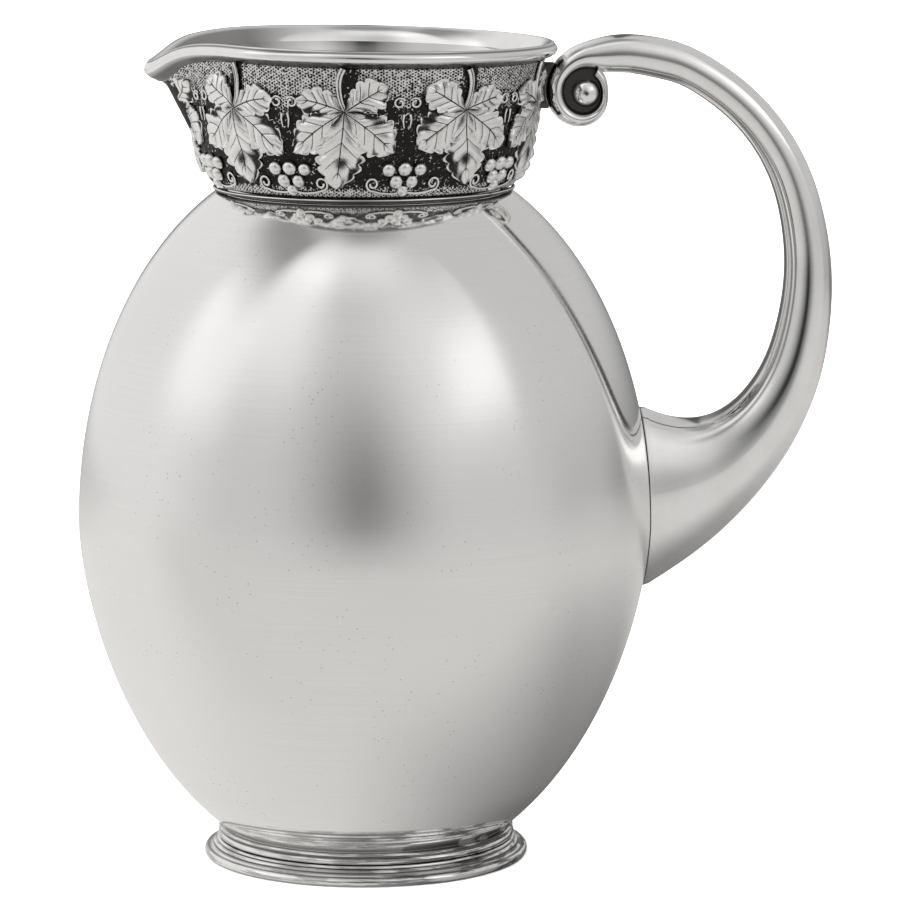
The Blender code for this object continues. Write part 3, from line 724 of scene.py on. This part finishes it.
def grape_bunch(index):
    """Six grapes with a curling tendril out to each side."""
    azimuth = SPOUT_AZIMUTH + STEP * (index + 0.5)
    shell = Shell()
    for along, z, radius in GRAPES:
        grape(shell, azimuth, along, z, radius)
    for mirror in (1, -1):
        tail = spline([(0.6, 182.7), (3.2, 182.3), (6.4, 182.5)], 4)
        path = np.vstack([tail, spiral(CURL_CENTRE, CURL_RADIUS, -95, 470, 34)])
        path = path * (mirror, 1)
        tube(shell, azimuth, path, np.linspace(0.28, 0.34, len(path)), 0.3)
    return shell


def tendril(index):
    """Two curls that face each other, each with a tail that runs down between them."""
    azimuth = SPOUT_AZIMUTH + STEP * (index + 0.5)
    shell = Shell()
    for mirror in (1, -1):
        tail = spline([(0.7, 199.6), (1.0, 201.6), (0.75, 203.2)], 5)
        tube(shell, azimuth, tail * (mirror, 1), np.linspace(0.15, 0.36, len(tail)), 0.3)
        curl = spiral(SCROLLET_CENTRE, SCROLLET_RADIUS, 150, -430, 34, 0.6)
        tube(shell, azimuth, curl * (mirror, 1), np.linspace(0.24, 0.32, len(curl)), 0.3)
    return shell


# --------------------------------------------------------------------------------------------------
# The collar's chased ground

PIT_SPACING = 0.80
PIT_DEPTH = 0.24
PIT_JITTER = 0.24


def ground_zone(along, z):
    """How brightly the ground's ridges stand out, 0 to 1: most above and below the leaves."""
    # Where this is low the ridges darken: oxide near the ornaments, with painted shade beside the stems.
    upper = smoothstep(z, 206.0, 209.8) * smoothstep(abs(along - 0.8), 1.4, 3.0)
    lower = smoothstep(z, 184.5, 182.5)
    between = smoothstep(abs(along), 12.0, 14.5) * smoothstep(z, 200.0, 208.0)
    return np.clip(np.maximum(np.maximum(upper, lower), between), 0.0, 1.0)


def collar_band():
    """The ground, a jittered honeycomb of punched pits, with the plain wall behind it.

    Points stand on a triangular lattice. Every third one is the bottom of a pit, and the six about it
    are ridge.
    """
    rng = np.random.default_rng(7)
    spacing = PIT_SPACING / math.sqrt(3)
    columns = 3 * int(math.tau * ORNAMENT_RADIUS / spacing / 3)
    rows = int((BAND_TOP_Z - BAND_BOTTOM_Z) / (spacing * math.sqrt(0.75))) + 1
    row = np.arange(rows)[:, None]
    column = np.arange(columns)[None, :]
    inner = ((row > 0) & (row < rows - 1)).astype(float)
    jitter = rng.normal(0.0, PIT_JITTER, (3, rows, columns))
    z = BAND_BOTTOM_Z + (BAND_TOP_Z - BAND_BOTTOM_Z) * (row + jitter[0] * inner) / (rows - 1)
    angle = math.tau * (column + 0.5 * (row % 2) + jitter[1]) / columns
    off_leaf = (np.degrees(angle) - SPOUT_AZIMUTH + STEP / 2) % STEP - STEP / 2
    along = off_leaf * math.radians(ORNAMENT_RADIUS)
    pit = (column - row // 2 - row) % 3 == 0
    bright = ground_zone(along, z)
    depth = PIT_DEPTH * inner * (0.45 + 0.55 * bright)
    uneven = jitter[2] / PIT_JITTER
    radius = band_radius(z) - depth * pit + 0.12 * depth * uneven
    # Pits hold oxide; ridges darken where the zone is low, as oxide and painted shade.
    tarnish = np.where(pit, 1.25 + 0.25 * uneven, 0.74 * (1.0 - bright) + 0.26 * uneven)
    outer = spout_warp(radius * np.cos(angle), radius * np.sin(angle), z)
    edges = [-1, 0]
    behind = band_radius(z[edges]) - BAND_WALL
    back = spout_warp(behind * np.cos(angle[edges]), behind * np.sin(angle[edges]), z[edges])
    shell = Shell()
    index = np.arange((rows + 2) * columns).reshape(rows + 2, columns)
    faces = lattice(index[:rows]) + quads(index[rows - 1:], np.roll(index, -1, axis=0)[rows - 1:])
    shell.add(np.vstack([outer, back]), faces, np.vstack([tarnish, np.ones((2, columns))]))
    return shell


def lattice(index):
    """Triangles between rows of point numbers whose odd rows stand half a step on."""
    faces = []
    for i, (low, high) in enumerate(zip(index, index[1:])):
        a, b, c, d = low, np.roll(low, -1), high, np.roll(high, -1)
        for corners in ((a, b, d), (a, d, c)) if i % 2 else ((a, b, c), (b, d, c)):
            faces += np.stack(corners, axis=-1).tolist()
    return faces


# --------------------------------------------------------------------------------------------------
# Materials

class Graph:
    """Short-hand for building a node tree."""

    def __init__(self, tree):
        self.tree = tree

    def node(self, kind, **settings):
        made = self.tree.nodes.new(kind)
        for name, value in settings.items():
            setattr(made, name, value)
        return made

    def link(self, socket, value):
        """Feeds a socket from another node's output, or sets its value."""
        if isinstance(value, bpy.types.NodeSocket):
            self.tree.links.new(value, socket)
        else:
            socket.default_value = value

    def math(self, operation, *values, clamp=False):
        made = self.node("ShaderNodeMath", operation=operation, use_clamp=clamp)
        for socket, value in zip(made.inputs, values):
            self.link(socket, value)
        return made.outputs[0]

    def vector(self, operation, *values):
        made = self.node("ShaderNodeVectorMath", operation=operation)
        for socket, value in zip(made.inputs, values):
            self.link(socket, value)
        return made.outputs["Value" if operation in ("DOT_PRODUCT", "LENGTH") else "Vector"]

    def across_and_up(self, place):
        """The x and z of a place."""
        parts = self.node("ShaderNodeSeparateXYZ")
        self.link(parts.inputs[0], place)
        return parts.outputs["X"], parts.outputs["Z"]

    def remap(self, value, low, high, to_low=0.0, to_high=1.0):
        """Maps low..high to to_low..to_high with soft ends."""
        made = self.node("ShaderNodeMapRange", interpolation_type="SMOOTHSTEP")
        for socket, setting in zip(made.inputs, (value, low, high, to_low, to_high)):
            self.link(socket, setting)
        return made.outputs[0]

    def mix(self, share, first, second):
        """A colour between two."""
        made = self.node("ShaderNodeMix", data_type="RGBA")
        self.link(made.inputs[0], share)
        self.link(made.inputs[6], first)
        self.link(made.inputs[7], second)
        return made.outputs[2]

    def noise(self, vector, scale, detail=2.0, roughness=0.5):
        made = self.node("ShaderNodeTexNoise")
        self.link(made.inputs["Vector"], vector)
        self.link(made.inputs["Scale"], scale)
        self.link(made.inputs["Detail"], detail)
        self.link(made.inputs["Roughness"], roughness)
        return made.outputs["Fac"]


def metal(name):
    """A new metallic material, with its graph and its shader."""
    made = bpy.data.materials.new(name)
    made.use_nodes = True
    shader = made.node_tree.nodes["Principled BSDF"]
    shader.inputs["Metallic"].default_value = 1.0
    return made, Graph(made.node_tree), shader


def grey(level, warmth=0.0):
    """A silver grey, a little warmer or cooler."""
    return (level * (1 + warmth), level, level * (1 - 1.5 * warmth), 1.0)


def place_mm(graph):
    """The point's place in the pitcher's frame, in millimetres."""
    place = graph.node("ShaderNodeNewGeometry").outputs["Position"]
    return graph.vector("MULTIPLY_ADD", place, (1 / MM,) * 3, (-AXIS_X, 0.0, 0.0))


def bump(graph, shader, height, distance, strength=1.0):
    """Lets a height in metres times distance disturb the surface."""
    made = graph.node("ShaderNodeBump")
    graph.link(made.inputs["Height"], height)
    graph.link(made.inputs["Distance"], distance)
    graph.link(made.inputs["Strength"], strength)
    graph.link(shader.inputs["Normal"], made.outputs["Normal"])


def satin_silver():
    """The body: mirror-like silver with faint spinning lines, pin-prick pits and soft cloudiness."""
    made, graph, shader = metal("satin_silver")
    place = place_mm(graph)
    turned = graph.vector("MULTIPLY", place, (0.02, 0.02, 3.2))
    lines = graph.noise(turned, 1.0, 3.0, 0.7)
    clouds = graph.noise(place, 0.035, 3.0, 0.55)
    speck_noise = graph.node("ShaderNodeTexVoronoi", feature="F1")
    graph.link(speck_noise.inputs["Vector"], place)
    graph.link(speck_noise.inputs["Scale"], 0.5)
    gate = graph.remap(graph.noise(place, 0.05, 2.0), 0.46, 0.62)
    speck = graph.math("MULTIPLY", graph.remap(speck_noise.outputs["Distance"], 0.135, 0.05), gate)
    lined = graph.mix(graph.remap(lines, 0.35, 0.65), grey(0.900, 0.006), grey(0.925, 0.006))
    cloudy = graph.mix(graph.remap(clouds, 0.3, 0.7, 0.0, 0.5), lined, grey(0.885, 0.008))
    speckled = graph.mix(graph.math("MULTIPLY", speck, 0.6), cloudy, grey(0.28, 0.02))
    graph.link(shader.inputs["Base Color"], speckled)
    # Years of rubbing have left it more mirror-like under the collar, above the foot and beside the
    # handle.
    across, up = graph.across_and_up(place)
    beside_handle = graph.math("MULTIPLY", graph.remap(across, 26.0, 62.0), graph.remap(up, 90.0, 128.0))
    by_collar = graph.remap(up, 135.0, 178.0)
    by_foot = graph.remap(up, 26.0, 12.0)
    rubbed = graph.math("MAXIMUM", graph.math("MAXIMUM", by_collar, by_foot), beside_handle)
    rough = graph.math("MULTIPLY_ADD", lines, 0.05, graph.remap(rubbed, 0.0, 1.0, 0.19, 0.055))
    graph.link(shader.inputs["Roughness"], graph.math("MULTIPLY_ADD", speck, 0.2, rough))
    graph.link(shader.inputs["Metallic"], graph.remap(rubbed, 0.0, 1.0, 0.74, 0.96))
    bump(graph, shader, lines, 0.000004, 0.35)
    return made


def polished_silver():
    """Rim, handle and foot: bright, with hair-fine polishing marks, tarnish and painted shade in the
    hollows, and painted reflection lines.
    """
    made, graph, shader = metal("polished_silver")
    place = place_mm(graph)
    marks = graph.noise(graph.vector("MULTIPLY", place, (2.6, 0.5, 0.7)), 1.0, 4.0, 0.7)
    clouds = graph.noise(place, 0.12, 3.0, 0.6)
    tarnish = graph.node("ShaderNodeAttribute", attribute_name="tarnish").outputs["Fac"]
    bright = graph.mix(graph.remap(clouds, 0.35, 0.7), grey(0.93, 0.004), grey(0.88, 0.008))
    # Dark streaks run round the foot; painted shade makes them stronger on the handle side.
    across, up = graph.across_and_up(place)
    streaks = graph.noise(graph.vector("MULTIPLY", place, (0.07, 0.07, 1.1)), 1.0, 3.0, 0.6)
    handle_side_shade = graph.remap(across, -20.0, 30.0, 0.45, 0.95)
    on_foot = graph.math("MULTIPLY", graph.remap(up, 10.5, 9.0), handle_side_shade)
    streaks_and_shade = graph.math("MULTIPLY", graph.remap(streaks, 0.45, 0.56), on_foot)
    tarnish = graph.math("MAXIMUM", tarnish, streaks_and_shade)
    graph.link(shader.inputs["Base Color"], graph.mix(tarnish, bright, grey(0.09, 0.02)))
    rough = graph.math("MULTIPLY_ADD", marks, 0.05, 0.02)
    graph.link(shader.inputs["Roughness"], graph.math("MULTIPLY_ADD", tarnish, 0.3, rough))
    bump(graph, shader, marks, 0.00002, 0.25)
    return made


def relief_silver(name, bright_level, graver_scale, roughness, oxide_and_shade_edge):
    """Silver rubbed bright on the heights, with black oxide and painted shade where the tarnish value is
    high.
    """
    made, graph, shader = metal(name)
    place = place_mm(graph)
    tarnish = graph.node("ShaderNodeAttribute", attribute_name="tarnish").outputs["Fac"]
    grain = graph.noise(place, graver_scale, 4.0, 0.65)
    patches = graph.noise(place, 0.35, 2.0, 0.5)
    ragged = graph.math("ADD", tarnish, graph.remap(grain, 0.3, 0.75, -0.12, 0.16))
    ragged = graph.math("ADD", ragged, graph.remap(patches, 0.35, 0.7, -0.05, 0.08))
    # Black oxide in veins and pits, and painted shade where the tarnish value carries it.
    oxide_and_shade = graph.remap(ragged, *oxide_and_shade_edge)
    cut = grey(bright_level * 0.86, 0.010)
    silver = graph.mix(graph.remap(grain, 0.4, 0.7), grey(bright_level, 0.006), cut)
    graph.link(shader.inputs["Base Color"], graph.mix(oxide_and_shade, silver, grey(0.028, 0.03)))
    graph.link(shader.inputs["Roughness"], graph.math("MULTIPLY_ADD", oxide_and_shade, 0.25, roughness))
    bump(graph, shader, grain, 0.00012, 0.5)
    return made


# --------------------------------------------------------------------------------------------------
# Studio

CAMERA_AZIMUTH = -5.0
CAMERA_DISTANCE = 1336.0
CAMERA_HEIGHT = 315.3
CAMERA_ASIDE = 24.5
CAMERA_PITCH = 8.83
CAMERA_LENS = 199.5
CAMERA_SENSOR = 36.0


def camera_axes():
    """The camera's level right and forward directions."""
    turn = math.radians(CAMERA_AZIMUTH)
    right = Vector((math.cos(turn), math.sin(turn), 0.0))
    return right, Vector((-right.y, right.x, 0.0))


def camera():
    """A long lens a little above the belly, looking slightly down."""
    right, ahead = camera_axes()
    pitch = math.radians(CAMERA_PITCH)
    forward = ahead * math.cos(pitch) - Vector((0, 0, 1)) * math.sin(pitch)
    up = right.cross(forward)
    place = right * CAMERA_ASIDE - ahead * CAMERA_DISTANCE + Vector((AXIS_X, 0, CAMERA_HEIGHT))
    data = bpy.data.cameras.new("camera")
    data.lens = CAMERA_LENS
    data.sensor_width = CAMERA_SENSOR
    data.clip_end = 100.0
    made = bpy.data.objects.new("camera", data)
    bpy.context.scene.collection.objects.link(made)
    turn = Matrix((right, up, -forward)).transposed().to_4x4()
    made.matrix_world = Matrix.Translation(place * MM) @ turn
    bpy.context.scene.camera = made


# Soft panels round the pitcher: azimuth from the camera's side (right positive) low, high and their
# softness, elevation low, high and their softness, and the light each adds or takes away.
PANELS = (
    ((-168, -72), (14, 40), (-60, 52), (30, 30), 0.23),
    ((-96, -62), (16, 20), (14, 42), (14, 20), 0.34),
    ((-66, -26), (20, 30), (26, 68), (26, 16), 0.37),
    ((14, 70.5), (44, 3), (14, 56), (22, 30), 0.24),
    ((42, 70.5), (22, 3), (20, 40), (10, 14), 0.42),
    ((-17, 18), (44, 40), (-60, 24), (20, 44), -0.51),
    ((-8, 7), (5, 5), (-40, 18), (30, 26), -0.05),
    ((-56, 40), (30, 60), (60, 78), (20, 10), 0.24),
    ((-181, 181), (1, 1), (78, 100), (12, 10), -0.25),
    ((-130, -66), (30, 16), (54, 74), (16, 12), -0.28),
    ((80, 181), (20, 1), (-60, 1), (30, 34), -0.22),
    ((118, 181), (20, 1), (-60, -3), (30, 24), -0.30),
    ((-181, -166), (1, 12), (-60, 6), (30, 24), -0.50),
    ((172, 181), (8, 1), (10, 70), (20, 20), -0.45),
    ((-181, -176), (1, 5), (10, 70), (20, 20), -0.45),
)
WORLD_LEVEL = 0.57


def band(graph, value, edges, soft):
    """1 between two edges, falling softly to 0 outside them."""
    (low, high), (soft_low, soft_high) = edges, soft
    rise = graph.remap(value, low - soft_low / 2, low + soft_low / 2)
    fall = graph.remap(value, high + soft_high / 2, high - soft_high / 2)
    return graph.math("MULTIPLY", rise, fall)


def studio():
    """A pale room with soft panels of light, seen white by the camera."""
    world = bpy.data.worlds.new("studio")
    bpy.context.scene.world = world
    world.use_nodes = True
    tree = world.node_tree
    tree.nodes.clear()
    graph = Graph(tree)
    right, ahead = camera_axes()
    direction = graph.node("ShaderNodeTexCoord").outputs["Generated"]
    across = graph.vector("DOT_PRODUCT", direction, right)
    near = graph.vector("DOT_PRODUCT", direction, -ahead)
    height = graph.vector("DOT_PRODUCT", direction, Vector((0, 0, 1)))
    azimuth = graph.math("MULTIPLY", graph.math("ARCTAN2", across, near), math.degrees(1))
    elevation = graph.math("MULTIPLY", graph.math("ARCSINE", height), math.degrees(1))
    level = WORLD_LEVEL
    for sides, side_soft, ends, end_soft, gain in PANELS:
        wide = band(graph, azimuth, sides, side_soft)
        high = band(graph, elevation, ends, end_soft)
        level = graph.math("MULTIPLY_ADD", graph.math("MULTIPLY", wide, high), gain, level)
    seen = graph.node("ShaderNodeLightPath").outputs["Is Camera Ray"]
    shown = graph.node("ShaderNodeMix", data_type="FLOAT")
    for socket, value in zip(shown.inputs[:1] + shown.inputs[2:4], (seen, level, 1.0)):
        graph.link(socket, value)
    background = graph.node("ShaderNodeBackground")
    graph.link(background.inputs["Strength"], shown.outputs[0])
    graph.link(background.inputs["Color"], (1.0, 0.995, 0.985, 1.0))
    output = graph.node("ShaderNodeOutputWorld")
    graph.link(output.inputs["Surface"], background.outputs[0])


FLOOR_HALF = 6.0
FLOOR_WHITE = 3.0
# Distances from the pitcher over which the floor that the silver sees gives way to the room.
FLOOR_FADE = (60.0, 2400.0)


def floor():
    """A wide pale floor, lit white for the camera; for the silver it glows with a painted grey tone and
    a painted soft shadow.
    """
    corners = [(x * FLOOR_HALF, y * FLOOR_HALF, 0) for x, y in ((-1, -1), (1, -1), (1, 1), (-1, 1))]
    mesh = bpy.data.meshes.new("floor")
    mesh.from_pydata(corners, [], [(0, 1, 2, 3)])
    made = bpy.data.objects.new("floor", mesh)
    bpy.context.scene.collection.objects.link(made)
    paper = bpy.data.materials.new("floor_paper")
    paper.use_nodes = True
    paper.node_tree.nodes.clear()
    graph = Graph(paper.node_tree)
    right, ahead = camera_axes()
    place = place_mm(graph)
    across = graph.vector("DOT_PRODUCT", place, right)
    near = graph.vector("DOT_PRODUCT", place, -ahead)
    # Painted light: in reflections the floor glows brighter to the left of the pitcher.
    left = graph.math("MULTIPLY", graph.remap(across, 60.0, -120.0), graph.remap(near, 130.0, 10.0))
    # Painted shadow to the right of the pitcher, seen only in reflections.
    shadow = graph.math("MULTIPLY", graph.remap(across, -20.0, 50.0), graph.remap(across, 380.0, 20.0))
    shadow = graph.math("MULTIPLY", shadow, band(graph, near, (-190, 60), (200, 130)))
    level = graph.math("MULTIPLY_ADD", left, 0.14, 0.66)
    level = graph.math("MULTIPLY_ADD", shadow, -0.52, level)
    # Painted shade on the floor behind the pitcher.
    level = graph.math("MULTIPLY_ADD", graph.remap(near, -300.0, -900.0), -0.40, level)
    glow = graph.node("ShaderNodeEmission")
    graph.link(glow.inputs["Color"], (1.0, 0.985, 0.965, 1.0))
    graph.link(glow.inputs["Strength"], level)
    far = graph.remap(graph.vector("LENGTH", place), *FLOOR_FADE)
    clear = graph.node("ShaderNodeBsdfTransparent")
    tone = graph.node("ShaderNodeMixShader")
    for socket, value in zip(tone.inputs, (far, glow.outputs[0], clear.outputs[0])):
        graph.link(socket, value)
    matt = graph.node("ShaderNodeBsdfDiffuse")
    graph.link(matt.inputs["Color"], (FLOOR_WHITE,) * 3 + (1.0,))
    seen = graph.node("ShaderNodeLightPath").outputs["Is Camera Ray"]
    both = graph.node("ShaderNodeMixShader")
    for socket, value in zip(both.inputs, (seen, tone.outputs[0], matt.outputs[0])):
        graph.link(socket, value)
    output = graph.node("ShaderNodeOutputMaterial")
    graph.link(output.inputs["Surface"], both.outputs[0])
    mesh.materials.append(paper)


# --------------------------------------------------------------------------------------------------

def build():
    satin = satin_silver()
    polished = polished_silver()
    chased = relief_silver("chased_silver", 0.93, 5.0, 0.16, (0.15, 0.80))
    ground = relief_silver("oxidised_silver", 0.84, 7.0, 0.22, (0.30, 0.62))

    piece("body_shell", body(), satin)
    for make in (foot_band, foot_base_ring, collar_wire, neck_liner, rim_with_spout, handle,
                 handle_scroll, scroll_eye, scroll_pad):
        piece(make.__name__, make(), polished)
    piece("collar_band", collar_band(), ground, sharp=180.0)
    for index in range(REPEATS):
        piece(f"leaf_{index + 1}", leaf(index), chased, sharp=70.0)
        piece(f"grape_bunch_{index + 1}", grape_bunch(index), chased, sharp=60.0)
        if f"tendril_{index + 1}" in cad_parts:
            piece(f"tendril_{index + 1}", tendril(index), chased, sharp=60.0)

    floor()
    studio()
    camera()
    bpy.context.scene.view_settings.view_transform = "Standard"


build()
